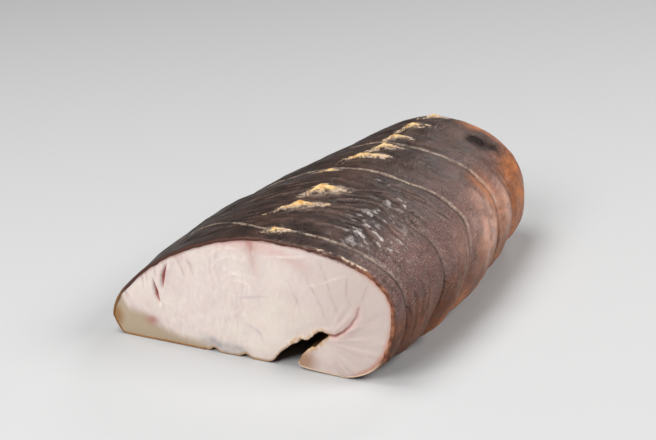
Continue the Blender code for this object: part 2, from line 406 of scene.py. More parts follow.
# Soft patches of the skin: middle and half size along, then round.
DENT = (168.0, 6.5, 0.47, 0.11)
FAR_RIM = (181.0, 5.0, 0.6, 0.26)
KNOB = (1.6, 1.5, 1.3, 0.035)
# Painted shade in the dent near the far end.
DENT_SHADE_SPOT = (171.0, 8.5, 0.47, 0.15)
# Where the wet pillows lie; their mask also paints highlight glints.
WET_AND_GLINT_SPOTS = (
    (1.0, (28.0, 13.0, 0.52, 0.16)),
    (0.75, (48.0, 10.0, 0.42, 0.1)),
    (0.9, (68.0, 5.0, 0.42, 0.08)),
    (0.7, (84.0, 4.0, 0.26, 0.06)),
)
# Pink skin on the far right bulges, lightened there as a painted sheen.
ROSY_SHEEN_SPOTS = (
    (1.1, (114.0, 14.0, 0.85, 0.17)),
    (0.9, (143.0, 7.0, 0.84, 0.16)),
    (0.4, (80.0, 12.0, 0.84, 0.10)),
)

# Sharp dry cracks on the right flank, darkened with painted shade, as (v, place) points, and millimetres
# per unit of place.
CRACK_SCALE = 95.0
CRACKS = (
    ((12.5, 0.76), (11.0, 0.84), (9.5, 0.90), (10.0, 0.96), (12.0, 1.0)),
    ((10.0, 0.95), (13.0, 0.97), (14.5, 1.0)),
    ((12.0, 1.0), (11.5, 1.06), (12.5, 1.12)),
)


def wrinkle_list():
    """Folds that run round the body: place, arch, left slant, reach, depth and width."""
    folds = []
    for _ in range(40):
        v = RNG.uniform(17.0, 86.0)
        start = RNG.uniform(-0.05, 0.5)
        folds.append((v, RNG.uniform(6.0, 20.0) * fall(v, 45.0, 88.0), 0.0, start,
                      start + RNG.uniform(0.1, 0.36), RNG.uniform(0.2, 0.58), RNG.uniform(0.7, 1.3)))
    for _ in range(26):
        v = RNG.uniform(18.0, 95.0)
        end = RNG.uniform(-0.35, 0.08)
        folds.append((v, 0.0, RNG.uniform(20.0, 45.0), end - RNG.uniform(0.1, 0.3), end,
                      RNG.uniform(0.12, 0.3), RNG.uniform(0.9, 1.5)))
    for _ in range(20):
        v = RNG.uniform(95.0, 184.0)
        start = RNG.uniform(-0.2, 0.8)
        folds.append((v, RNG.uniform(-5.0, 5.0), 0.0, start, start + RNG.uniform(0.1, 0.3),
                      RNG.uniform(0.05, 0.13), RNG.uniform(1.2, 2.0)))
    for _ in range(12):
        v = RNG.uniform(14.0, 120.0)
        start = RNG.uniform(0.75, 1.1)
        folds.append((v, 0.0, 0.0, start, start + RNG.uniform(0.15, 0.4),
                      RNG.uniform(0.08, 0.2), RNG.uniform(1.0, 1.6)))
    return folds


def wrinkles(v, place):
    height = np.zeros_like(v)
    for k, (at, arch, slant, start, end, depth, width) in enumerate(wrinkle_list()):
        path = at + arch * bump(place, 0.3, 0.26) - slant * np.maximum(-place, 0.0)
        path = path + 1.6 * noise(place * 7.0, k * 3.7, seed=3)
        path = path + 0.5 * noise(place * 26.0, k * 1.9, seed=13)
        d = (v - path) / width
        depth = depth * (0.7 + 0.6 * noise(place * 12.0, k * 2.3, seed=15))
        fade = step(place, start - 0.06, start + 0.06) * fall(place, end - 0.06, end + 0.06)
        height += depth * fade * (bump(d, 0.9, 1.0) - 0.9 * bump(d, -0.7, 1.0))
    return height


def flecks(v, place):
    """Short wet pillows between the wrinkles of the front right, which also carry painted highlight
    glints.
    """
    zone = sum(strength * spot(v, place, patch) for strength, patch in WET_AND_GLINT_SPOTS)
    warp = v - 14.0 * bump(place, 0.3, 0.26)
    cells = noise(warp / 1.9, place * 24.0, seed=18) + 0.5 * noise(warp / 1.1, place * 50.0, seed=19)
    return step(cells, 0.35, 0.85) * unit(1.2 * zone)


def string_relief(v, place):
    """Height, the pale line painted as a highlight on the lip, and the dark groove painted as shade, of
    the string marks.
    """
    height, pale, dark = (np.zeros_like(v) for _ in range(3))
    for k, (at, looks) in enumerate(zip(STRINGS, STRING_LOOKS)):
        depth, lip, line, start, end = looks
        d = v - at - 0.8 * noise(place * 6.0, k * 5.3, seed=12)
        if k == 0:
            d = d - RING_ONE_LEFT * step(-place, 0.02, 0.5)
        fade = step(place, start - 0.08, start + 0.08) * fall(place, end - 0.1, end + 0.1)
        flank = 0.55 + 0.45 * step(place, 0.3, 0.8)
        uneven = 0.75 + 0.4 * noise(place * 14.0, k * 4.1, seed=16)
        height += fade * flank * uneven * (lip * bump(d, 1.3, 0.9) - depth * bump(d, 0.0, 0.95))
        broken = 0.7 + 0.6 * noise(place * 34.0, k * 9.1, seed=14)
        broken = broken * (1.0 - 0.75 * step(place, 0.62, 0.85))
        # The pale line is a painted highlight along each string's raised lip.
        pale = np.maximum(pale, line * fade * bump(d, 1.35, 0.6) * broken)
        # Painted shade in each string's groove.
        dark = np.maximum(dark, fade * flank * depth * uneven * bump(d, -0.3, 0.9))
    return height, pale, dark


def crack_relief(v, place):
    depth = np.zeros_like(v)
    across = place * CRACK_SCALE
    for k, path in enumerate(CRACKS):
        points = [(a, b * CRACK_SCALE) for a, b in path]
        wobble = 0.3 * noise(v / 3.0, across / 3.0, k, seed=41)
        d, s, _ = path_distance(v + wobble, across + wobble, points)
        depth = np.maximum(depth, tapered(s, 0.08) ** 0.6 * bump(d, 0.0, 0.5))
    return depth


def blurred(grid, rows, columns):
    """A box blur over so many rows and columns to each side."""
    out = grid
    for axis, radius in ((0, rows), (1, columns)):
        pad = [(0, 0), (0, 0)]
        pad[axis] = (radius, radius)
        padded = np.pad(out, pad, mode="edge")
        shifts = range(2 * radius + 1)
        out = sum(np.take(padded, np.arange(k, k + grid.shape[axis]), axis) for k in shifts)
        out = out / len(shifts)
    return out


def grid_normals(points):
    """Outward unit normals of a grid whose rows run along and columns run round."""
    along = np.gradient(points, axis=0)
    across = np.gradient(points, axis=1)
    normal = np.cross(along, across)
    return normal / np.maximum(np.linalg.norm(normal, axis=-1), 1e-9)[..., None]


def skin_rows():
    near = [0.0, 0.3, 0.7, 1.2]
    middle = np.arange(1.9, 104.0, 0.74)
    far = np.linspace(104.5, LENGTH, 92)
    return np.concatenate([near, middle, far])


def skin_grid():
    """Outer skin as a grid of points with its colour masks."""
    v, u = np.meshgrid(skin_rows(), PLACE[:SKIN_COUNT + 1], indexing="ij")
    y = v + lean(v, u)
    outline = outline_at(y, np.arange(SKIN_COUNT + 1))
    base = np.stack([outline[..., 0], y, outline[..., 1]], axis=-1)
    normal = grid_normals(base)
    x, z = base[..., 0], base[..., 2]
    knob = spot(v, u, KNOB)
    lift = swell(v, u) + 1.3 * spot(v, u, FAR_RIM) - 2.4 * spot(v, u, DENT) + 1.3 * knob
    lift += 0.45 * noise(x / 17.0, y / 14.0, z / 17.0, seed=2)
    lift += 0.22 * noise(x / 6.5, y / 5.0, z / 6.5, seed=3)
    ring, pale, dark = string_relief(v, u)
    crack = crack_relief(v, u)
    wet_and_glint = flecks(v, u)
    scar, gold, cream, shade = scar_relief(x, y, z)
    ripple = 0.10 * noise(v / 1.9, u * 14.0, seed=4) * step(u, -0.6, 0.0)
    behind_rim = 1.0 - 0.8 * fall(v, 7.0, 13.0)
    curl = -0.35 * bump(v, 5.5, 3.2) * step(u, 0.05, 0.2) * fall(u, 0.8, 1.0)
    edge_lift = 0.35 * bump(v, 0.8, 1.4) * step(u, 0.0, 0.15) * fall(u, 0.75, 0.9)
    edge_lift *= 1.0 + 0.8 * noise(u * 55.0, 3.0, seed=6)
    fine = ring + (wrinkles(v, u) + ripple + 0.4 * wet_and_glint) * behind_rim
    fine += curl + edge_lift - 0.6 * crack - 0.35 * shade
    # Nothing lifts where the skin meets the floor.
    fade = step(z, 1.0, 9.0)
    detail = fine * fade + scar
    total = lift * fade + detail
    # The flap's own edge and the left belly edge thin out to nothing.
    total -= 0.25 * (step(u, 1.97, 2.0) + step(-u, 1.57, 1.6))
    # The near and far rims round over.
    total -= 0.45 * fall(v, -0.6, 1.1) + 0.6 * step(v, LENGTH - 1.2, LENGTH)
    points = base + normal * total[..., None]
    ragged = 0.35 * noise(u * 40.0, 7.7, seed=8) + 0.5 * step(noise(u * 75.0, 1.3, seed=9), 0.1, 0.9)
    torn = step(u, 0.08, 0.25) * fall(u, 0.72, 0.85)
    points[..., 1] -= (0.12 + torn * ragged) * fall(v, 0.0, 3.0)
    points[..., 2] = np.maximum(points[..., 2], 0.02)
    # Painted light: crests of the fine relief are lightened as a painted highlight, and its hollows
    # darkened as painted shade.
    painted_crest_highlight = (detail - blurred(detail, 4, 6)) / 0.35
    masks = {
        "gold": gold,
        "cream": cream,
        "pale": pale,
        # Painted shade in the string grooves, in the cracks and beside the scars, plus the knob's own
        # dark colour.
        "dark": np.maximum(dark, 0.75 * crack) + 0.8 * shade + 0.7 * knob,
        "painted_crest_highlight": painted_crest_highlight,
        "hollow": -painted_crest_highlight,
        "warm": warmth(v, u),
        "amber": amber(v, u),
        "orange": orange(v, u),
        "rosy": rosy(v, u),
        "blot": dent_shaded(v, u),
        # Painted shade: the left side of the body is darker and greyer.
        "leftside": step(-u, -0.05, 0.45),
        "speckle": speckled(v, u),
        "wet_and_glint": wet_and_glint,
        "torn": torn_edge(v, u),
    }
    masks = {name: unit(values) for name, values in masks.items()}
    return v, u, points, normal, masks


def torn_edge(v, u):
    """Pale torn bits of skin along the top right of the near rim."""
    zone = step(u, 0.22, 0.34) * fall(u, 0.62, 0.72)
    bits = step(noise(u * 62.0, v / 1.2, seed=27), -0.1, 0.35)
    return zone * bits * fall(v, 0.9, 2.4)


def warmth(v, u):
    """Near-black brown on the back, mauve brown down the right flank."""
    patch = 0.10 * noise(v / 13.0, u * 5.0, seed=20)
    return step(u + patch + 0.0006 * v, 0.38, 0.86)


def amber(v, u):
    """Amber low on the right side and along the pointed left edge."""
    patch = 0.10 * noise(v / 12.0, u * 6.0, seed=21)
    low = step(u + patch + 0.0010 * v, 0.92, 1.12)
    left = step(-u, 0.95, 1.05)
    return np.maximum(low, left)


def orange(v, u):
    """Orange at the far right end, round the last strings and low on the flank."""
    patch = noise(v / 9.0, u * 7.0, seed=23)
    end = step(v + 4.0 * patch + 30.0 * (u - 0.75), 149.0, 168.0) * step(u, 0.5, 0.75)
    rim = step(v + 2.0 * patch, 176.0, 187.0) * step(u, 0.1, 0.4)
    fringe = 0.9 * bump(v + 2.0 * patch, 130.0, 8.0) * step(u, 0.48, 0.68)
    low = 0.9 * step(u + 0.06 * patch + 0.0012 * v, 1.18, 1.36) * step(v, 40.0, 80.0)
    haze = (0.08 + 0.05 * patch) * step(v, 128.0, 176.0) * step(u, 0.0, 0.35)
    return np.maximum.reduce([end, rim, fringe, low, haze])


def rosy(v, u):
    """Pinkish swollen parts of the far right segments, lighter on the bulges as a painted sheen."""
    patch = 0.8 + 0.35 * noise(v / 6.0, u * 9.0, seed=25)
    return 1.15 * patch * sum(strength * spot(v, u, place) for strength, place in ROSY_SHEEN_SPOTS)


def dent_shaded(v, u):
    """Painted shade, near black, in the dent near the far end."""
    ragged = 1.0 + 0.5 * noise(v / 4.0, u * 16.0, seed=28)
    return step(spot(v, u, DENT_SHADE_SPOT) * ragged, 0.02, 0.95)


def speckled(v, u):
    """Where the skin's fine pale grain shows."""
    return step(u, 0.35, 0.65) * fall(u, 0.92, 1.1) * (1.0 - 0.7 * step(v, 90.0, 140.0))


# ---- meshes

def make_object(name, points, faces, masks, material):
    mesh = bpy.data.meshes.new(name)
    mesh.from_pydata(to_scene(points).tolist(), [], faces)
    mesh.update()
    for key, values in masks.items():
        stored = mesh.attributes.new(key, "FLOAT", "POINT")
        stored.data.foreach_set("value", np.asarray(values, dtype=np.float32))
    mesh.polygons.foreach_set("use_smooth", [True] * len(mesh.polygons))
    made = bpy.data.objects.new(name, mesh)
    made.data.materials.append(material)
    bpy.context.scene.collection.objects.link(made)
    return made


def quads(upper, lower, closed=False):
    """Faces between two equally long rows of vertex numbers."""
    count = len(upper)
    last = count if closed else count - 1
    return [(upper[i], lower[i], lower[(i + 1) % count], upper[(i + 1) % count]) for i in range(last)]


def fan_strip(fine, coarse):
    """Triangles between a finely and a coarsely divided edge that share their ends."""
    faces = []
    steps = len(coarse) - 1
    last = 0
    for i in range(len(fine) - 1):
        k = min(int(round((i + 1) * steps / (len(fine) - 1))), steps)
        faces.append((fine[i], fine[i + 1], coarse[last]))
        if k != last:
            faces.append((fine[i + 1], coarse[k], coarse[last]))
            last = k
    return faces


def build_skin(material):
    v, u, outer, normal, masks = skin_grid()
    rows, columns = v.shape
    # The hidden inner side has few rows, under these outer ones.
    picks = [0, 1] + list(range(6, rows - 2, 9)) + [rows - 1]
    wall = skin_wall(u[0]) * (1.0 + 0.25 * noise(u[0] * 30.0, 2.0, seed=51))
    wall = wall * (1.0 - 0.4 * np.maximum(step(u[0], 1.85, 2.0), step(-u[0], 1.45, 1.6)))
    inner = outer[picks] - normal[picks] * wall[None, :, None]
    inner[0, :, 1] = outer[0, :, 1] + 0.15
    inner[1:-1, :, :] -= normal[picks[1:-1]] * 0.6
    inner[1, :, 1] = 3.0
    inner[..., 2] = np.maximum(inner[..., 2], 0.45)
    points = np.concatenate([outer.reshape(-1, 3), inner.reshape(-1, 3)])
    number = np.arange(rows * columns).reshape(rows, columns)
    inside = rows * columns + np.arange(len(picks) * columns).reshape(len(picks), columns)
    faces = []
    for i in range(rows - 1):
        faces += quads(number[i].tolist(), number[i + 1].tolist())
    for i in range(len(picks) - 1):
        faces += quads(inside[i + 1].tolist(), inside[i].tolist())
    faces += quads(inside[0].tolist(), number[0].tolist())
    faces += quads(number[-1].tolist(), inside[-1].tolist())
    faces += fan_strip(number[::-1, 0].tolist(), inside[::-1, 0].tolist())
    faces += fan_strip(number[:, -1].tolist(), inside[:, -1].tolist())
    full = {}
    for key, grid in masks.items():
        full[key] = np.concatenate([grid.reshape(-1), grid[picks].reshape(-1)])
    place = u[0]
    rim_masks = {
        "cut": np.ones(columns),
        "rimfat": step(-place, 0.8, 0.95),
        "rimorange": step(place, 0.5, 0.7) * fall(place, 1.3, 1.45),
        "rimcream": step(place, 1.3, 1.45),
    }
    for key, shares in rim_masks.items():
        full[key] = np.concatenate([((v < 0.5) * shares).reshape(-1), np.tile(shares, len(picks))])
    piece = make_object("skin", points, faces, full, material)
    return piece, outer, normal


def inside_outline(points, outline):
    """Which points lie inside the closed outline."""
    hits = np.zeros(len(points), dtype=bool)
    a = outline
    b = np.roll(outline, -1, axis=0)
    for (ax, ay), (bx, by) in zip(a, b):
        if ay == by:
            continue
        spans = (points[:, 1] < ay) != (points[:, 1] < by)
        crossing = ax + (points[:, 1] - ay) * (bx - ax) / (by - ay)
        hits ^= spans & (points[:, 0] < crossing)
    return hits


def line_distance(points, line):
    """Distance from each point to an open polyline."""
    best = np.full(len(points), 1e9)
    for (ax, ay), (bx, by) in zip(line, line[1:]):
        dx, dy = bx - ax, by - ay
        length = dx * dx + dy * dy + 1e-12
        t = unit(((points[:, 0] - ax) * dx + (points[:, 1] - ay) * dy) / length)
        best = np.minimum(best, np.hypot(points[:, 0] - ax - t * dx, points[:, 1] - ay - t * dy))
    return best


# Marks on the near cut face, as (x, z) points. A gash also has its width and depth.
GASHES = (
    (((-51.4, 30.2), (-50.3, 25.3), (-49.1, 21.3), (-48.1, 18.4)), 0.75, 2.0),
    (((-44.2, 39.4), (-45.9, 34.5), (-46.6, 30.1), (-46.4, 26.2)), 0.65, 1.6),
)
FOLD = ((35.0, 19.2), (38.5, 19.4), (42.6, 22.4), (46.4, 26.8), (48.7, 31.2), (49.5, 34.6))
SEAMS = (
    ((30.9, 53.6), (34.4, 45.5), (36.7, 37.7), (40.2, 30.0), (41.6, 25.5)),
    ((24.0, 46.0), (28.5, 38.5), (32.0, 32.0), (35.2, 23.5)),
    ((44.2, 50.2), (43.7, 44.2), (44.6, 37.9), (45.5, 33.0)),
    ((54.0, 47.8), (51.7, 40.4), (49.5, 34.6)),
    ((16.0, 42.0), (20.5, 33.0), (23.0, 25.0)),
    ((-58.0, 33.5), (-57.0, 29.0), (-56.5, 25.0)),
    ((-52.5, 38.0), (-52.3, 34.0)),
    ((-39.5, 43.0), (-36.5, 38.5), (-35.0, 34.0)),
    ((-35.0, 46.5), (-31.5, 40.5), (-30.8, 36.0)),
)
PALE_LINES = (
    ((3.0, 50.8), (17.3, 53.3), (27.0, 55.2)),
    ((21.0, 39.4), (32.0, 43.3), (38.4, 46.8), (44.2, 49.0)),
    ((-23.7, 46.3), (-18.2, 50.5), (-11.6, 52.4), (-5.9, 51.4), (-5.2, 47.1)),
    ((-18.7, 36.7), (-15.2, 41.4), (-10.2, 44.3), (-5.3, 43.9)),
    ((-18.9, 28.6), (-17.5, 34.5), (-13.6, 39.3), (-7.0, 40.4), (-0.5, 40.0), (1.4, 35.5)),
    ((-21.5, 41.0), (-17.5, 46.0), (-11.5, 48.3), (-5.6, 47.5)),
    ((-15.5, 33.0), (-12.5, 36.5), (-8.0, 37.5), (-3.0, 36.5), (-1.5, 33.0)),
)
GREY_LINES = (
    ((-8.0, 29.3), (0.1, 31.2), (6.0, 32.5)),
    ((-4.5, 17.0), (1.5, 14.0), (4.5, 9.0)),
)
MEDIAN = ((-2.6, 58.0), (-1.2, 53.0), (-0.6, 47.0), (0.4, 40.0))
FAR_MIDDLE_X = 17.0
FAT_X = (-74.0, -69.0, -65.0, -57.0, -48.8, -38.5, -26.5)
FAT_TOP = (22.0, 19.5, 13.5, 12.8, 7.6, 4.2, 3.6)
# The middle of the flap's curl, from which its creases fan out.
CURL_X, CURL_Z = 34.0, 16.0


def drawn(x, z, wobble, paths, width, margin, steady=1.0, uneven=0.0, cell=(1.0, 1.0), seed=0):
    """Thin lines along paths, tapered at their ends and uneven in strength."""
    mask = np.zeros(len(x))
    for k, path in enumerate(paths):
        d, s, _ = path_distance(x + wobble, z + wobble, path)
        line = bump(d, 0.0, width) * tapered(s, margin)
        line *= steady + uneven * noise(x / cell[0], z / cell[1], k, seed)
        mask = np.maximum(mask, line)
    return mask


def face_cuts(x, z, wobble):
    """Depth and masks of the gashes and the fold."""
    deep = np.zeros(len(x))
    gash = np.zeros(len(x))
    for path, width, depth in GASHES:
        d, s, _ = path_distance(x + 0.6 * wobble, z, path)
        taper = tapered(s, 0.04) ** 0.7
        cut = bump(d, 0.0, width * taper + 0.15) * taper
        deep += depth * cut - 0.25 * bump(d, 1.6, 0.9) * taper
        gash = np.maximum(gash, step(cut, 0.3, 0.75))
    d, s, _ = path_distance(x + 0.5 * wobble, z, FOLD)
    deep += (1.1 * bump(d, 0.0, 0.5) - 0.5 * bump(d, 2.2, 1.6)) * (1.0 - 0.75 * s)
    fold = bump(d, 0.0, 0.6) * (1.0 - 0.6 * s)
    halo = 0.75 * bump(d, 0.0, 2.6) * (1.0 - 0.5 * s)
    return deep, {"gash": gash, "fold": fold, "halo": halo}


def face_lines(x, z, wobble, d_skin):
    """Depth and masks of the seams, pale arcs, muscle fibres and creases."""
    seam = drawn(x, z, wobble, SEAMS, 0.55, 0.1, 0.6, 0.4, (2.0, 3.0), 64)
    arcs = [curve(path) for path in PALE_LINES]
    pale = drawn(x, z, wobble, arcs, 0.6, 0.08, 0.65, 0.5, (2.5, 2.5), 65)
    grey = drawn(x, z, wobble, [curve(path) for path in GREY_LINES], 0.7, 0.1)
    # Muscle fibres stand upright left of the middle and fan out in the curled flap.
    along = z + 0.2 * x
    across = x - 0.25 * (x + 20.0) / 50.0 * z
    left_side = step(-x, -4.0, 6.0) * step(x, -60.0, -50.0)
    fibre = noise(across / 1.3, along / 4.5, seed=66) + 0.7 * noise(across / 1.1, along / 2.0, seed=67)
    strong = fibre * (0.35 + 0.65 * left_side)
    angle = np.arctan2(z - CURL_Z, x - CURL_X)
    reach = np.hypot(z - CURL_Z, x - CURL_X)
    flap = step(x, 34.0, 42.0) * fall(z, 30.0, 42.0)
    fan = noise(angle * 9.0, reach / 14.0, seed=68)
    comb = step(-x, 34.0, 42.0) * fall(d_skin, 2.0, 7.0) * step(z, 14.0, 22.0)
    teeth = step(noise(across / 1.1, along / 6.0, seed=69), 0.15, 0.6) * comb
    deep = 0.18 * seam - 0.12 * pale + 0.13 * strong + 0.26 * fan * flap + 0.12 * teeth
    d, s, _ = path_distance(x, z, MEDIAN)
    median = bump(d, 0.0, 4.2 - 2.8 * s) * (1.0 - 0.8 * s) * (0.75 + 0.35 * fibre)
    creases = 0.4 * flap * step(-fan, 0.1, 0.7) * step(reach, 3.0, 10.0)
    masks = {
        "seam": np.maximum(seam, creases),
        "pale": pale,
        "grey": grey,
        "fibre": 0.5 + 0.5 * strong,
        "teeth": teeth,
        "pink": 0.8 * median,
    }
    return deep, masks


def face_zones(x, z, wobble, d_skin, d_cavity):
    """Depth and masks of the fat, cartilage, crust, stains and edges."""
    fat_top = np.interp(x, FAT_X, FAT_TOP)
    fat = fall(z - fat_top + 0.9 * wobble, -3.0, 3.0) * fall(x, -27.0, -18.0)
    flap_tip = fall(np.hypot(0.85 * (x - 21.0), 1.1 * (z - 5.0)) + 1.2 * wobble, 3.0, 10.5)
    flap_tip *= step(x, 15.0, 19.5) * fall(z - 0.95 * (x - 20.0), 3.5, 6.0)
    cartilage = 1.1 * bump(x, -22.0, 5.0) * bump(z + 0.25 * (x + 22.0), 4.8, 2.6)
    cartilage += 1.0 * bump(x, -11.0, 6.5) * bump(z, 3.4, 2.3)
    cartilage *= 0.75 + 0.4 * noise(x / 3.0, z / 1.5, seed=76)
    crust = bump(x, 23.0, 9.0) * step(z, 7.0, 12.0) * fall(x, 33.5, 35.5)
    crust *= fall(d_cavity + 0.7 * noise(x / 1.4, z / 1.4, seed=70), 0.9, 2.3)
    top_red = fall(d_skin + 0.6 * wobble, 0.3, 2.2) * step(z, 24.0, 34.0) * fall(x, 48.0, 56.0)
    pits = step(x, 24.0, 32.0) * fall(x, 46.0, 49.0) * step(z, 45.0, 50.0)
    pits *= fall(d_skin, 0.8, 2.2) * step(noise(x / 1.3, z / 1.3, seed=73), -0.1, 0.5)
    rosy_top = bump(z + 0.010 * (x + 2.0) ** 2, 56.0, 3.2) * step(x, -26.0, -12.0) * fall(x, 20.0, 34.0)
    keel = fall(d_cavity + 0.5 * wobble, 0.3, 1.9) * step(x, -28.0, -22.0) * fall(x, 2.0, 9.0)
    mottle = layered(x / 9.0, z / 7.0, seed=75)
    crumbs = 0.6 + 0.6 * noise(x / 1.5, z / 1.5, seed=71)
    deep = 0.3 * fat - 0.7 * crust * crumbs + 0.8 * pits
    masks = {
        "fat": fat,
        "amber": fall(np.hypot(x + 72.0, (z - 8.5) / 1.35), 1.0, 6.0),
        "flaptip": flap_tip,
        "stain": bump(x + 1.7 * wobble, -52.7, 3.4) * bump(z, 10.0, 2.2),
        "cartilage": cartilage,
        "keel": keel,
        "crust": crust * 1.8,
        "rightred": step(x, 40.0, 56.0) * fall(d_skin + 0.8 * wobble, 0.0, 3.2),
        "topred": top_red,
        "pits": pits,
        "rosy": rosy_top,
        "mottle": 0.5 + 0.5 * mottle,
        "shaded": step(x + 3.0 * mottle, 5.0, 52.0),
        "dry": fall(d_cavity + 0.25 * wobble, 0.1, 1.5),
    }
    return deep, masks


def face_relief(p, skin_line, cavity_line):
    """Depth into the piece and colour masks for points of the near cut face."""
    x, z = p[:, 0], p[:, 1]
    d_skin = line_distance(p, skin_line)
    d_cavity = line_distance(p, cavity_line)
    wobble = 0.35 * noise(x / 2.5, z / 2.5, seed=61)
    deep = 0.25 * layered(x / 14.0, z / 14.0, seed=60)
    deep -= 0.35 * step(d_skin, 0.0, 6.0) * step(d_cavity, 0.0, 6.0)
    masks = {}
    for part, part_masks in (
            face_cuts(x, z, wobble),
            face_lines(x, z, wobble, d_skin),
            face_zones(x, z, wobble, d_skin, d_cavity)):
        deep += part
        masks.update(part_masks)
    masks["pink"] = np.maximum(masks["pink"], masks.pop("stain"))
    return deep, {name: unit(values) for name, values in masks.items()}


def flesh_ring(y, skin_step):
    """Core outline at one distance along: under the skin, and bare in the cavity."""
    columns = np.concatenate([np.arange(0, SKIN_COUNT, skin_step), np.arange(SKIN_COUNT, len(PLACE))])
    place = PLACE[columns]
    v = np.full(len(columns), y)
    ring = outline_at(v, columns)
    before = np.roll(ring, 1, axis=0)
    after = np.roll(ring, -1, axis=0)
    along = after - before
    along /= np.maximum(np.linalg.norm(along, axis=1), 1e-9)[:, None]
    outward = np.stack([along[:, 1], -along[:, 0]], axis=1)
    skin = columns < SKIN_COUNT
    # Rows of the skin lean, so its swell is read where this section crosses it.
    v_here = v - lean(v, place)
    lift = np.minimum(swell(np.clip(v_here, 0.0, LENGTH), place), 0.6) * step(ring[:, 1], 1.0, 9.0)
    sink = FLESH_SINK * step(min(y, LENGTH - y), 0.8, 4.0) * step(ring[:, 1], 2.0, 14.0)
    offset = np.where(skin, lift - FLESH_UNDER * skin_wall(place) - sink, 0.0)
    return ring + outward * offset[:, None], outward, skin


def cavity_relief(y, ring, outward, skin):
    """Uneven dried wall of the belly cavity and its torn edge."""
    x, z = ring[:, 0], ring[:, 1]
    wall = 0.35 * layered(x / 5.0, y / 9.0, z / 5.0, seed=80)
    wall += 0.2 * noise(x / 1.8, y / 2.4, z / 1.8, seed=81)
    edge = bump(y, 0.0, 3.0) * bump(x, 23.0, 8.0) * step(z, 9.0, 13.0)
    rough = 0.9 * noise(x / 1.7, y / 1.5, seed=82) + 0.4 * noise(x / 0.8, y / 0.9, seed=83)
    # The floor's small notches stay smooth, or their walls would cross.
    wall = (wall + edge * rough) * step(z, 1.6, 5.0)
    moved = ring + outward * (wall * ~skin)[:, None]
    moved[:, 1] = np.maximum(moved[:, 1], 0.05)
    return moved


def refined(grid, lines, spacing):
    """Swap the grid beside the lines for one of half the spacing."""
    near = np.min([line_distance(grid, line) for line in lines], axis=0) < REFINED_WITHIN
    half = 0.5 * spacing
    extra = [grid[~near]]
    for dx, dz in ((0.0, 0.0), (half, 0.0), (0.5 * half, 0.87 * half), (1.5 * half, 0.87 * half)):
        extra.append(grid[near] + (dx, dz))
    return np.concatenate(extra)


def cap(outline, spacing, fine_lines):
    """Triangles inside an outline: points, faces, and how many points are the outline."""
    low = outline.min(axis=0)
    high = outline.max(axis=0)
    xs = np.arange(low[0], high[0], spacing)
    zs = np.arange(low[1], high[1], spacing * 0.87)
    gx, gz = np.meshgrid(xs, zs)
    gx = gx + 0.5 * spacing * (np.arange(len(zs)) % 2)[:, None]
    grid = np.stack([gx.ravel(), gz.ravel()], axis=1)
    grid = grid + np.random.default_rng(CAP_SEED).uniform(-0.12, 0.12, grid.shape) * spacing
    if fine_lines:
        grid = refined(grid, fine_lines, spacing)
    grid = grid[inside_outline(grid, outline)]
    closed = np.concatenate([outline, outline[:1]])
    grid = grid[line_distance(grid, closed) > 0.45 * spacing]
    points = np.concatenate([outline, grid])
    verts = [Vector((float(a), float(b))) for a, b in points]
    ring = list(range(len(outline)))
    result = delaunay_2d_cdt(verts, [], [ring], 1, 1e-6, True)
    out, faces, origin = result[0], result[2], result[3]
    placed = np.array([(p.x, p.y) for p in out])
    keep = {}
    for new, olds in enumerate(origin):
        for old in olds:
            keep[old] = new
    ring_numbers = [keep[i] for i in ring]
    middles = np.array([placed[list(f)].mean(axis=0) for f in faces])
    kept = inside_outline(middles, outline)
    return placed, [tuple(f) for f, good in zip(faces, kept) if good], ring_numbers


def build_flesh(material):
    near_rows = np.arange(0.8, 12.0, 0.7)
    far_rows = np.linspace(12.5, LENGTH - 0.25, 110)
    stations = np.concatenate([[0.25], near_rows, far_rows])
    rings = []
    for y in stations:
        ring, outward, skin = flesh_ring(y, 2)
        rings.append(cavity_relief(y, ring, outward, skin))
    count = len(rings[0])
    points = np.concatenate([np.insert(r, 1, y, axis=1) for r, y in zip(rings, stations)])
    number = np.arange(len(points)).reshape(len(stations), count)
    faces = []
    for upper, lower in zip(number, number[1:]):
        faces += quads(upper.tolist(), lower.tolist(), closed=True)
    tube_mottle = layered(points[:, 0] / 9.0, points[:, 1] / 9.0, seed=75)
    tube = {"wall": np.ones(len(points)), "mottle": unit(0.5 + 0.5 * tube_mottle)}
    blocks = [(tube, len(points))]
    for end, spacing, relief in ((0, NEAR_SPACING, face_relief), (-1, FAR_SPACING, far_face)):
        near = end == 0
        outline = rings[end]
        fine_lines = [path for path, _, _ in GASHES] + [FOLD] if near else ()
        placed, triangles, ring_numbers = cap(outline, spacing, fine_lines)
        skin_line = outline[skin]
        cavity_line = np.concatenate([skin_line[-1:], outline[~skin], outline[:1]])
        deep, face_masks = relief(placed, skin_line, cavity_line)
        y = stations[end] + (deep if near else -deep)
        y[ring_numbers] = stations[end]
        y = np.minimum(y, LENGTH)
        new = np.full(len(placed), -1)
        new[ring_numbers] = number[end]
        free = np.where(new < 0)[0]
        new[free] = len(points) + np.arange(len(free))
        points = np.concatenate([points, np.stack([placed[free, 0], y[free], placed[free, 1]], axis=1)])
        blocks.append(({name: values[free] for name, values in face_masks.items()}, len(free)))
        for f in triangles:
            a, b, c = (int(new[i]) for i in f)
            faces.append((a, b, c) if near else (a, c, b))
        if near:
            # The rim takes the face's colours, and is dry beside the cavity.
            for name, values in face_masks.items():
                tube.setdefault(name, np.zeros(number.size))[number[0]] = values[ring_numbers]
            tube["wall"][number[0]] = 0.4
            tube["dry"][number[0][~skin]] = 1.0
    masks = {}
    for name in tube:
        masks[name] = np.concatenate([block.get(name, np.zeros(size)) for block, size in blocks])
    return make_object("flesh", points, faces, masks, material)


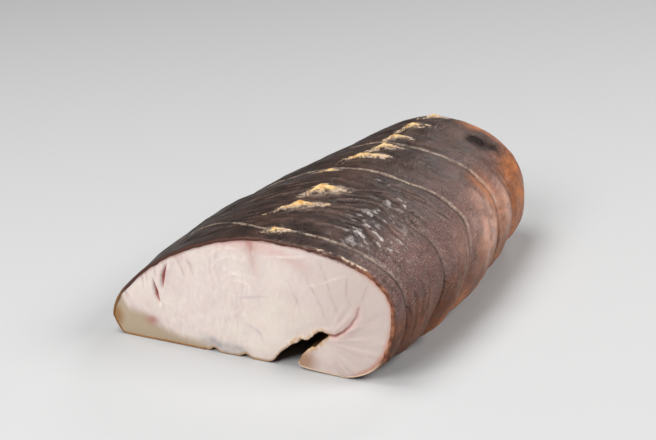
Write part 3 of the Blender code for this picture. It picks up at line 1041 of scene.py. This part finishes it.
def far_face(p, skin_line, cavity_line):
    """The far cut, finished plainly like the near one."""
    x, z = p[:, 0] - FAR_MIDDLE_X, p[:, 1]
    d_skin = line_distance(p, skin_line)
    d_cavity = line_distance(p, cavity_line)
    fibre = noise((p[:, 0] - 0.1 * z) / 1.6, z / 7.0, seed=91)
    pale = np.zeros(len(p))
    for side in (-1.0, 1.0):
        for k in range(5):
            d = np.hypot(x - side * 14.0, (z - 36.0) * 1.1) - (6.0 + 5.0 * k)
            strength = 0.4 + 0.4 * noise(p[:, 0] / 5.0, z / 5.0, k, seed=92)
            pale = np.maximum(pale, bump(d, 0.0, 0.5) * strength)
    deep = 0.25 * layered(p[:, 0] / 12.0, z / 12.0, seed=90) + 0.09 * fibre - 0.1 * pale
    deep -= 0.3 * step(d_skin, 0.0, 6.0) * step(d_cavity, 0.0, 6.0)
    median = bump(x, 0.6 * noise(z / 6.0, 0.0, seed=93), 1.3) * step(z, 30.0, 52.0)
    masks = {
        "pale": pale,
        "fibre": 0.5 + 0.4 * fibre,
        "pink": 0.5 * median,
        "rightred": 0.7 * fall(d_skin, 0.4, 2.6),
        "topred": fall(d_skin, 0.3, 1.8),
        "dry": fall(d_cavity, 0.1, 1.5),
        "mottle": 0.5 + 0.5 * layered(p[:, 0] / 9.0, z / 7.0, seed=94),
    }
    return deep, {name: unit(values) for name, values in masks.items()}


# ---- materials

def new_material(name):
    made = bpy.data.materials.new(name)
    made.use_nodes = True
    tree = made.node_tree
    return made, tree, tree.nodes["Principled BSDF"]


def attribute(tree, name):
    node = tree.nodes.new("ShaderNodeAttribute")
    node.attribute_name = name
    return node.outputs["Fac"]


def maths(tree, operation, a, b, clamp=False):
    node = tree.nodes.new("ShaderNodeMath")
    node.operation = operation
    node.use_clamp = clamp
    for socket, value in zip(node.inputs, (a, b)):
        if isinstance(value, (int, float)):
            socket.default_value = value
        else:
            tree.links.new(value, socket)
    return node.outputs[0]


def times(tree, a, b, clamp=False):
    return maths(tree, "MULTIPLY", a, b, clamp)


def plus(tree, a, b):
    return maths(tree, "ADD", a, b)


def mixed(tree, factor, first, second):
    node = tree.nodes.new("ShaderNodeMix")
    node.data_type = "RGBA"
    sockets = (node.inputs["Factor"], node.inputs[6], node.inputs[7])
    for socket, value in zip(sockets, (factor, first, second)):
        if isinstance(value, (int, float, tuple)):
            socket.default_value = value
        else:
            tree.links.new(value, socket)
    return node.outputs[2]


def grain(tree, scale, detail=3.0, rough=0.55, stretch=(1.0, 1.0, 1.0), low=0.35, high=0.65):
    """Noise in object space, spread between two levels."""
    coords = tree.nodes.new("ShaderNodeTexCoord")
    mapping = tree.nodes.new("ShaderNodeMapping")
    mapping.inputs["Scale"].default_value = stretch
    texture = tree.nodes.new("ShaderNodeTexNoise")
    texture.inputs["Scale"].default_value = scale
    texture.inputs["Detail"].default_value = detail
    texture.inputs["Roughness"].default_value = rough
    spread = tree.nodes.new("ShaderNodeMapRange")
    spread.inputs["From Min"].default_value = low
    spread.inputs["From Max"].default_value = high
    tree.links.new(coords.outputs["Object"], mapping.inputs["Vector"])
    tree.links.new(mapping.outputs["Vector"], texture.inputs["Vector"])
    tree.links.new(texture.outputs["Fac"], spread.inputs["Value"])
    return spread.outputs["Result"]


def surfaced(tree, shader, colour, rough, heights):
    """Link colour, roughness and one bump from (height socket, millimetres) pairs."""
    total = 0.0
    for height, size in heights:
        total = plus(tree, times(tree, height, size * MM), total)
    node = tree.nodes.new("ShaderNodeBump")
    node.inputs["Strength"].default_value = 1.0
    node.inputs["Distance"].default_value = 1.0
    tree.links.new(total, node.inputs["Height"])
    tree.links.new(node.outputs["Normal"], shader.inputs["Normal"])
    tree.links.new(colour, shader.inputs["Base Color"])
    tree.links.new(rough, shader.inputs["Roughness"])


def painted(tree, colour, layers):
    """Lay tones over a colour, each by a mask's name or socket and a strength."""
    for mask, tone, strength in layers:
        if isinstance(mask, str):
            mask = attribute(tree, mask)
        colour = mixed(tree, times(tree, mask, strength, clamp=True), colour, tone)
    return colour


# Amber of the pointed belly edge, on the flesh and on the skin's rim.
AMBER_TIP = linear(150, 106, 58)

# Skin colours.
DARK_BROWN = linear(42, 29, 24)
SLATE_BROWN = linear(80, 58, 51)
WARM_BROWN = linear(98, 62, 51)
MAUVE_BROWN = linear(128, 92, 86)
# Pink of the far bulges, made light as a painted sheen.
ROSE_SHEEN_BROWN = linear(232, 186, 168)
AMBER = linear(96, 46, 14)
ORANGE = linear(214, 130, 70)
BURNT = linear(150, 84, 46)
# Near black: the skin's dark specks and the knob's own colour, and painted shade in grooves, cracks and
# hollows.
DARK_MARKS_AND_SHADE = linear(30, 20, 16)
# Painted highlight on the crests of the fine relief.
PAINTED_CREST_HIGHLIGHT_TONE = linear(136, 116, 106)
# Painted highlight: near-white glints on the wet pillows.
PAINTED_GLINT_TONE = linear(194, 184, 180)
SPECKLE_TONE = linear(178, 156, 150)
# Painted highlight on the raised lips of the string marks.
PAINTED_LIP_HIGHLIGHT = linear(186, 166, 148)
GOLD = linear(224, 192, 134)
GOLD_DEEP = linear(192, 142, 78)
CREAM = linear(216, 190, 166)
CUT_EDGE = linear(84, 48, 36)
RIM_RED = linear(112, 62, 44)
RIM_ORANGE = linear(178, 116, 82)
# Painted shade in the far dent.
DENT_SHADE_TONE = linear(20, 13, 11)
# Painted shade over the left side of the body.
LEFT_SHADE_TONE = linear(40, 36, 32)


def skin_material():
    made, tree, shader = new_material("smoked_skin")
    cloud = grain(tree, 90.0, 4.0, low=0.38, high=0.62)
    speck = grain(tree, 900.0, 3.0, low=0.36, high=0.64)
    mid = grain(tree, 330.0, 3.0, stretch=(1.0, 0.55, 1.0), low=0.38, high=0.62)
    blotch = grain(tree, 110.0, 6.0, 0.62, low=0.36, high=0.66)
    streaks = grain(tree, 260.0, 5.0, 0.65, stretch=(1.0, 0.45, 1.0), low=0.42, high=0.66)
    dots = grain(tree, 1300.0, 2.0, low=0.52, high=0.66)
    warm = times(tree, attribute(tree, "warm"), plus(tree, times(tree, mid, 0.4), 0.72))
    speckle = times(tree, attribute(tree, "speckle"), dots)
    # Painted highlight on the crests of the fine relief.
    painted_crest_highlight = times(tree, attribute(tree, "painted_crest_highlight"), speck)
    # Painted highlight glints on the wet pillows, besides their lower roughness.
    painted_glint = times(tree, attribute(tree, "wet_and_glint"), plus(tree, speck, 0.35))
    # Painted highlight along the lips of the string marks.
    pale = times(tree, attribute(tree, "pale"), plus(tree, speck, 0.3))
    colour = painted(tree, mixed(tree, cloud, DARK_BROWN, SLATE_BROWN), (
        (warm, mixed(tree, speck, WARM_BROWN, MAUVE_BROWN), 1.0),
        ("amber", mixed(tree, times(tree, cloud, 0.2), AMBER, ORANGE), 0.96),
        ("orange", mixed(tree, blotch, BURNT, ORANGE), 0.95),
        # Pink skin of the bulges with a painted sheen.
        ("rosy", mixed(tree, times(tree, blotch, 0.45), ROSE_SHEEN_BROWN, ORANGE), 0.85),
        (streaks, DARK_BROWN, 0.42),
        (speckle, SPECKLE_TONE, 0.5),
        ("leftside", LEFT_SHADE_TONE, 0.5),
        ("blot", DENT_SHADE_TONE, 0.95),
        (speck, DARK_MARKS_AND_SHADE, 0.22),
        # Painted shade in the hollows of the fine relief.
        ("hollow", DARK_MARKS_AND_SHADE, 0.6),
        (painted_crest_highlight, PAINTED_CREST_HIGHLIGHT_TONE, 0.6),
        (painted_glint, PAINTED_GLINT_TONE, 0.85),
        # Painted shade in grooves, in cracks and beside the scars, with the dark knob.
        ("dark", DARK_MARKS_AND_SHADE, 0.85),
        (pale, PAINTED_LIP_HIGHLIGHT, 0.9),
        ("cream", CREAM, 0.8),
        ("torn", CREAM, 0.85),
        ("gold", mixed(tree, mid, GOLD_DEEP, GOLD), 1.0),
        ("cut", CUT_EDGE, 0.85),
        ("rimorange", mixed(tree, mid, RIM_RED, RIM_ORANGE), 0.75),
        ("rimfat", AMBER_TIP, 0.95),
        ("rimcream", CREAM, 0.9),
    ))
    rough = plus(tree, times(tree, blotch, 0.2), 0.34)
    rough = plus(tree, rough, times(tree, attribute(tree, "gold"), 0.15))
    rough = plus(tree, rough, times(tree, attribute(tree, "wet_and_glint"), -0.24))
    surfaced(tree, shader, colour, rough, ((speck, 0.13), (mid, 0.14), (speckle, 0.12)))
    # The painted shade in the dent is dull.
    gloss = plus(tree, times(tree, attribute(tree, "blot"), -0.24), 0.30)
    tree.links.new(gloss, shader.inputs["Specular IOR Level"])
    return made


# Flesh colours.
FLESH = linear(226, 211, 206)
FLESH_ROSE = linear(214, 194, 190)
FLESH_WHITE = linear(236, 224, 214)
FLESH_CREAM = linear(228, 216, 202)
PALE_FLESH = linear(246, 234, 224)
FAT = linear(176, 156, 128)
SHADED = linear(198, 180, 172)
GASH_PINK = linear(168, 98, 94)
FOLD_RED = linear(150, 82, 74)
HALO_PINK = linear(214, 176, 168)
SEAM_TONE = linear(186, 160, 154)
GREY_TONE = linear(196, 180, 180)
RED_BROWN = linear(150, 74, 56)
RED_ORANGE = linear(186, 108, 76)
CARTILAGE = linear(146, 146, 150)
KEEL_TONE = linear(176, 146, 112)
CRUST = linear(196, 150, 90)
DRY_EDGE = linear(172, 130, 84)
FLAP_BROWN = linear(158, 116, 84)
WALL = linear(82, 50, 34)
PIT_RED = linear(104, 40, 32)


def flesh_material():
    made, tree, shader = new_material("smoked_flesh")
    cloud = grain(tree, 70.0, 3.0, low=0.36, high=0.64)
    fibre = grain(tree, 600.0, 3.0, stretch=(1.0, 1.0, 0.35), low=0.36, high=0.64)
    speck = grain(tree, 1100.0, 2.0, low=0.36, high=0.64)
    wide = grain(tree, 38.0, 2.0, low=0.38, high=0.62)
    base = mixed(tree, attribute(tree, "mottle"), FLESH_ROSE, mixed(tree, wide, FLESH, FLESH_CREAM))
    colour = painted(tree, base, (
        (cloud, FLESH_WHITE, 0.35),
        (times(tree, attribute(tree, "fibre"), fibre), FLESH_WHITE, 0.65),
        ("rosy", HALO_PINK, 0.6),
        ("shaded", SHADED, 0.75),
        ("fat", FAT, 0.9),
        ("grey", GREY_TONE, 0.6),
        ("seam", SEAM_TONE, 0.75),
        ("teeth", SEAM_TONE, 0.5),
        ("pale", PALE_FLESH, 0.6),
        ("halo", HALO_PINK, 0.8),
        ("pink", GASH_PINK, 0.75),
        ("fold", FOLD_RED, 0.9),
        ("gash", GASH_PINK, 1.0),
        ("cartilage", CARTILAGE, 0.8),
        ("keel", KEEL_TONE, 0.7),
        ("amber", AMBER_TIP, 0.9),
        ("flaptip", FLAP_BROWN, 0.85),
        ("topred", RED_BROWN, 0.75),
        ("rightred", RED_ORANGE, 0.85),
        ("dry", DRY_EDGE, 0.75),
        ("crust", mixed(tree, times(tree, fibre, 0.7), CRUST, FLESH_WHITE), 0.95),
        ("pits", PIT_RED, 0.9),
        ("wall", mixed(tree, times(tree, cloud, 0.25), WALL, CRUST), 1.0),
    ))
    rough = plus(tree, times(tree, cloud, 0.14), 0.38)
    surfaced(tree, shader, colour, rough, ((fibre, 0.05), (speck, 0.02)))
    shader.inputs["Subsurface Weight"].default_value = 0.15
    shader.inputs["Subsurface Radius"].default_value = (1.0, 0.45, 0.3)
    shader.inputs["Subsurface Scale"].default_value = 0.002
    return made


def scar_material():
    made, tree, shader = new_material("scute_scar")
    mid = grain(tree, 500.0, 3.0, low=0.35, high=0.65)
    rough = plus(tree, times(tree, mid, 0.15), 0.42)
    surfaced(tree, shader, mixed(tree, mid, GOLD, CREAM), rough, ((mid, 0.08),))
    return made


# ---- loose flakes

FLAKES_ABOVE_Z = 45.0
FLAKES_PER_SCAR = 10
FLAKE_RINGS = 7
FLAKE_AROUND = 6


def flake_mesh(centre, direction, normal, size):
    """One small rough flake: a flattened, tapered lump of rings of points."""
    direction = direction / np.linalg.norm(direction)
    side = np.cross(normal, direction)
    side /= np.linalg.norm(side)
    length, width, thick = size
    points = []
    for t in np.linspace(0.0, 1.0, FLAKE_RINGS):
        fullness = tapered(t, 0.06) ** 0.8
        for j in range(FLAKE_AROUND):
            a = 2.0 * math.pi * j / FLAKE_AROUND
            r = (1.0 + 0.35 * RNG.uniform(-1.0, 1.0)) * fullness
            offset = side * (math.cos(a) * width * r) + normal * (math.sin(a) * thick * r)
            points.append(centre + direction * ((t - 0.5) * length) + offset)
    number = np.arange(FLAKE_RINGS * FLAKE_AROUND).reshape(FLAKE_RINGS, FLAKE_AROUND)
    faces = [tuple(number[0, ::-1].tolist()), tuple(number[-1].tolist())]
    for ring, following in zip(number, number[1:]):
        faces += quads(following.tolist(), ring.tolist(), closed=True)
    return np.array(points), faces


def build_flakes(skin_points, skin_normals, material):
    """Loose flakes strewn along both arms of each high scar."""
    flat = skin_points.reshape(-1, 3)
    flat_normals = skin_normals.reshape(-1, 3)
    top = flat[:, 2] > FLAKES_ABOVE_Z
    flat, flat_normals = flat[top], flat_normals[top]
    points = []
    faces = []
    for tail, peak, end, width, high in SCARS:
        if high < 1.0:
            continue
        for _ in range(FLAKES_PER_SCAR):
            share = RNG.uniform(0.0, 1.0)
            start, stop = (tail, peak) if RNG.uniform() < 0.5 else (peak, end)
            direction = np.array(stop) - np.array(start)
            spread = RNG.normal(0.0, 0.55 * width, 2)
            x, y = np.array(start) + direction * share + spread
            near = np.argmin((flat[:, 0] - x) ** 2 + (flat[:, 1] - y) ** 2)
            turn = RNG.normal(0.0, 0.3)
            turned = np.array([
                direction[0] * math.cos(turn) - direction[1] * math.sin(turn),
                direction[0] * math.sin(turn) + direction[1] * math.cos(turn),
                0.0])
            size = (RNG.uniform(1.8, 4.5), RNG.uniform(0.15, 0.32), RNG.uniform(0.1, 0.2))
            centre = flat[near] + flat_normals[near] * 0.02
            lump, lump_faces = flake_mesh(centre, turned, flat_normals[near], size)
            faces += [tuple(i + len(points) for i in face) for face in lump_faces]
            points.extend(lump)
    return make_object("scute_flakes", np.array(points), faces, {}, material)


# ---- build the pieces

skin, skin_points, skin_normals = build_skin(skin_material())
flesh = build_flesh(flesh_material())
flakes = build_flakes(skin_points, skin_normals, scar_material())

for piece, slot in ((skin, "skin"), (flesh, "flesh"), (flakes, "scute")):
    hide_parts("smoked_fish")
    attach(piece, "root")

# ---- floor, lamps and camera

FLOOR_SIZE = 6.0
FLOOR_GREY = 0.5
WORLD_LIGHT = 0.05
WORLD_SEEN = 0.65

floor_mesh = bpy.data.meshes.new("floor")
half = 0.5 * FLOOR_SIZE
floor_mesh.from_pydata(
    [(-half, -half, 0.0), (half, -half, 0.0), (half, half, 0.0), (-half, half, 0.0)], [], [(0, 1, 2, 3)])
floor = bpy.data.objects.new("floor", floor_mesh)
bpy.context.scene.collection.objects.link(floor)
floor_stuff, floor_tree, floor_shader = new_material("pale_floor")
floor_shader.inputs["Base Color"].default_value = (FLOOR_GREY, FLOOR_GREY, FLOOR_GREY, 1.0)
floor_shader.inputs["Roughness"].default_value = 0.8
floor.data.materials.append(floor_stuff)


def area_lamp(name, place, target, size, power):
    lamp = bpy.data.lights.new(name, "AREA")
    lamp.shape = "DISK"
    lamp.size = size
    lamp.energy = power
    made = bpy.data.objects.new(name, lamp)
    made.location = place
    made.rotation_euler = (Vector(target) - Vector(place)).to_track_quat("-Z", "Y").to_euler()
    bpy.context.scene.collection.objects.link(made)


area_lamp("window", (0.05, 1.3, 0.8), (0.0, 0.0, 0.03), 0.4, 3.6)
area_lamp("overhead", (-0.35, -0.2, 1.3), (0.0, 0.0, 0.03), 0.8, 11.0)
area_lamp("front_fill", (-0.25, -1.1, 0.95), (0.0, -0.05, 0.03), 0.8, 16.0)
area_lamp("side_fill", (0.95, 0.25, 0.85), (0.0, 0.0, 0.03), 0.6, 10.5)

world = bpy.data.worlds.new("studio")
bpy.context.scene.world = world
world.use_nodes = True
backdrop = world.node_tree.nodes["Background"]
backdrop.inputs["Color"].default_value = (1.0, 1.0, 1.0, 1.0)
ray = world.node_tree.nodes.new("ShaderNodeLightPath")
# Pale to the camera, dim as a light, so the lamps keep the skin's darks.
seen = times(world.node_tree, ray.outputs["Is Camera Ray"], WORLD_SEEN)
strength = plus(world.node_tree, seen, WORLD_LIGHT)
world.node_tree.links.new(strength, backdrop.inputs["Strength"])

AZIMUTH = math.radians(23.5)
PITCH = math.radians(22.0)
DISTANCE = 0.672
AIM = Vector((0.0190, -0.0606, 0.0582))
LENS = 82.3
SENSOR = 36.0

forward = Vector((
    -math.sin(AZIMUTH) * math.cos(PITCH), math.cos(AZIMUTH) * math.cos(PITCH), -math.sin(PITCH)))
camera_data = bpy.data.cameras.new("camera")
camera_data.sensor_width = SENSOR
camera_data.lens = LENS
camera_data.clip_start = 0.01
camera_data.clip_end = 20.0
camera = bpy.data.objects.new("camera", camera_data)
camera.location = AIM - DISTANCE * forward
camera.rotation_euler = forward.to_track_quat("-Z", "Y").to_euler()
bpy.context.scene.collection.objects.link(camera)
bpy.context.scene.camera = camera

bpy.context.scene.view_settings.view_transform = "Standard"
